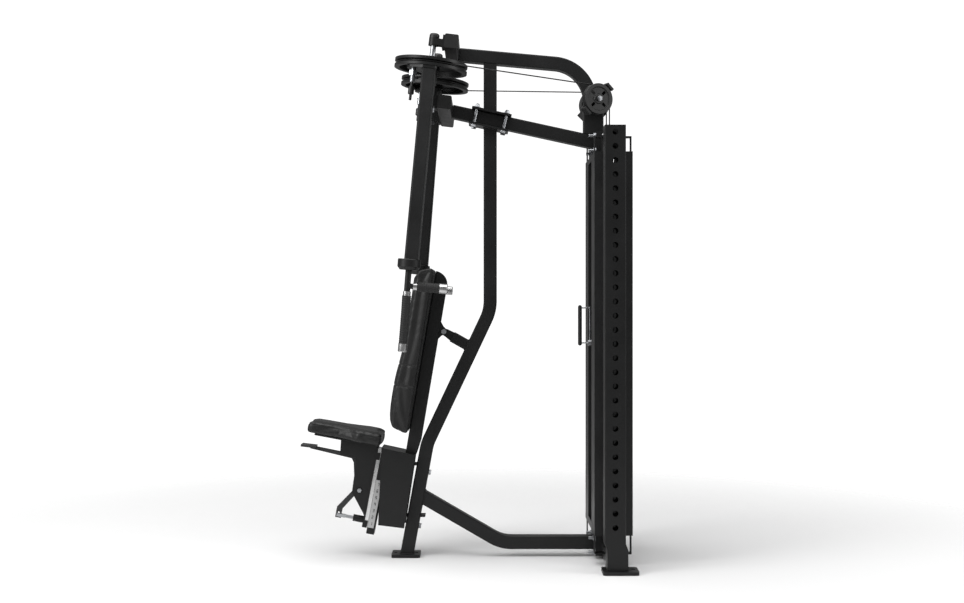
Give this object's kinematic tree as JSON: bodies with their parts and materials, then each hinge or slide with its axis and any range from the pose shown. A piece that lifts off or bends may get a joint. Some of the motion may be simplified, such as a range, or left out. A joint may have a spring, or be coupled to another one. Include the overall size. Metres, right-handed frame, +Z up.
{
  "type": "chest fly and rear deltoid machine",
  "caption": "Selectorised chest fly and rear deltoid machine with overhead pivoted arms, cabled cams, a guarded weight stack, an adjustable seat and a fixed back pad.",
  "frame": {"origin": "on the floor, under the middle of the machine's outer box", "axes": "+Z up, +Y towards the weight stack tower, the seat faces -Y, +X to the seated user's left"},
  "size_m": [0.891, 1.24, 1.9424],
  "materials": {
    "powder_black": "satin",
    "chrome_steel": "polished",
    "zinc_steel": "satin",
    "brass": "satin",
    "vinyl": "satin",
    "board": "matte",
    "rubber_black": "matte",
    "plastic_black": "satin",
    "cable_jacket": "satin",
    "stack_steel": "satin",
    "scale_plate": "satin",
    "lever_grey": "satin"
  },
  "bodies": {
    "frame": {"uprights": "powder_black", "rear_feet": "powder_black", "base_crossmember": "powder_black", "top_crossmember": "powder_black", "main_frame_tube": "powder_black", "lower_frame_tube": "powder_black", "top_beam": "powder_black", "sloped_beam": "powder_black", "cross_tubes": "powder_black", "tube_end_caps": "plastic_black", "arm_bearings": "powder_black", "pulley_mast": "powder_black", "pulley_yokes": "powder_black", "pulley_axles": "zinc_steel", "back_support_tube": "powder_black", "back_pad": "vinyl", "back_pad_board": "board", "seat_housing": "powder_black", "seat_rail": "chrome_steel", "position_scale": "scale_plate", "front_guard": "powder_black", "rear_guard": "powder_black", "guide_rods": "chrome_steel", "stack_bumpers": "rubber_black", "weight_plates": "stack_steel", "frame_bolts": "zinc_steel", "cable_spans": "cable_jacket", "cable_drops": "cable_jacket"},
    "stack": {"head_plate": "stack_steel", "top_weight_plate": "stack_steel", "selector_stem": "chrome_steel", "cable_anchors": "zinc_steel"},
    "stack_pin": {"selector_pin": "zinc_steel", "selector_grip": "rubber_black"},
    "seat": {"seat_carriage": "powder_black", "seat_pad": "vinyl"},
    "lever": {"seat_lever": "lever_grey"},
    "seat_plunger": {"plunger": "zinc_steel"},
    "left_cam_unit": {"left_cam": "powder_black", "left_cam_shaft": "zinc_steel", "left_cam_bush": "brass"},
    "left_arm_unit": {"left_arm": "powder_black", "left_collar": "powder_black", "left_pin_barrel": "zinc_steel"},
    "left_pop": {"left_pop_pin": "plastic_black"},
    "left_handle": {"left_handle_frame": "powder_black", "left_handle_grips": "rubber_black", "left_handle_fittings": "zinc_steel"},
    "left_pulley_wheel": {"left_pulley": "plastic_black"},
    "right_cam_unit": {"right_cam": "powder_black", "right_cam_shaft": "zinc_steel", "right_cam_bush": "brass"},
    "right_arm_unit": {"right_arm": "powder_black", "right_collar": "powder_black", "right_pin_barrel": "zinc_steel"},
    "right_pop": {"right_pop_pin": "plastic_black"},
    "right_handle": {"right_handle_frame": "powder_black", "right_handle_grips": "rubber_black", "right_handle_fittings": "zinc_steel"},
    "right_pulley_wheel": {"right_pulley": "plastic_black"}
  },
  "joints": [
    {"name": "stack_lift", "type": "slide", "parent": "frame", "child": "stack", "axis": [0, 0, 1], "range_m": [0, 0.185], "deforming": ["cable_drops"]},
    {"name": "selector_pull", "type": "slide", "parent": "stack", "child": "stack_pin", "axis": [0, -1, 0], "range_m": [0, 0.12]},
    {"name": "seat_height", "type": "slide", "parent": "frame", "child": "seat", "axis": [0, 0.1857, 0.9826], "range_m": [0, 0.15]},
    {"name": "lever_tilt", "type": "hinge", "parent": "seat", "child": "lever", "pos_m": [0, -0.39776, 0.25182], "axis": [1, 0, 0], "range_deg": [0, 5.2]},
    {"name": "plunger_slide", "type": "slide", "parent": "seat", "child": "seat_plunger", "axis": [0, 0.9826, -0.1857], "range_m": [0, 0.0105]},
    {"name": "left_cam_turn", "type": "hinge", "parent": "frame", "child": "left_cam_unit", "pos_m": [0.2, -0.121, 1.822], "axis": [0, -0.1149, -0.9934], "range_deg": [0, 85]},
    {"name": "left_arm_start", "type": "hinge", "parent": "left_cam_unit", "child": "left_arm_unit", "pos_m": [0.2, -0.121, 1.822], "axis": [0, -0.1149, -0.9934], "range_deg": [-15, 30]},
    {"name": "left_pop_slide", "type": "slide", "parent": "left_arm_unit", "child": "left_pop", "axis": [0, 0.1149, 0.9934], "range_m": [0, 0.012]},
    {"name": "left_handle_turn", "type": "hinge", "parent": "left_arm_unit", "child": "left_handle", "pos_m": [0.405, -0.19, 1.094], "axis": [0, 0.0785, 0.9969], "range_deg": [-40, 40]},
    {"name": "left_pulley_turn", "type": "hinge", "parent": "frame", "child": "left_pulley_wheel", "pos_m": [0.082, 0.497, 1.722], "axis": [0.9239, 0.3827, 0], "range_deg": [0, 212]},
    {"name": "right_cam_turn", "type": "hinge", "parent": "frame", "child": "right_cam_unit", "pos_m": [-0.2, -0.121, 1.822], "axis": [0, 0.1149, 0.9934], "range_deg": [0, 85]},
    {"name": "right_arm_start", "type": "hinge", "parent": "right_cam_unit", "child": "right_arm_unit", "pos_m": [-0.2, -0.121, 1.822], "axis": [0, 0.1149, 0.9934], "range_deg": [-15, 30]},
    {"name": "right_pop_slide", "type": "slide", "parent": "right_arm_unit", "child": "right_pop", "axis": [0, 0.1149, 0.9934], "range_m": [0, 0.012]},
    {"name": "right_handle_turn", "type": "hinge", "parent": "right_arm_unit", "child": "right_handle", "pos_m": [-0.405, -0.19, 1.094], "axis": [0, 0.0785, 0.9969], "range_deg": [-40, 40]},
    {"name": "right_pulley_turn", "type": "hinge", "parent": "frame", "child": "right_pulley_wheel", "pos_m": [-0.082, 0.497, 1.722], "axis": [0.9239, -0.3827, 0], "range_deg": [0, 212]}
  ],
  "couplings": [
    {"joint": "plunger_slide", "follows": "lever_tilt", "m_per_rad": 0.11},
    {"joint": "left_cam_turn", "follows": "stack_lift", "rad_per_m": 8},
    {"joint": "left_pulley_turn", "follows": "stack_lift", "rad_per_m": 20},
    {"joint": "right_cam_turn", "follows": "stack_lift", "rad_per_m": 8},
    {"joint": "right_pulley_turn", "follows": "stack_lift", "rad_per_m": 20}
  ]
}
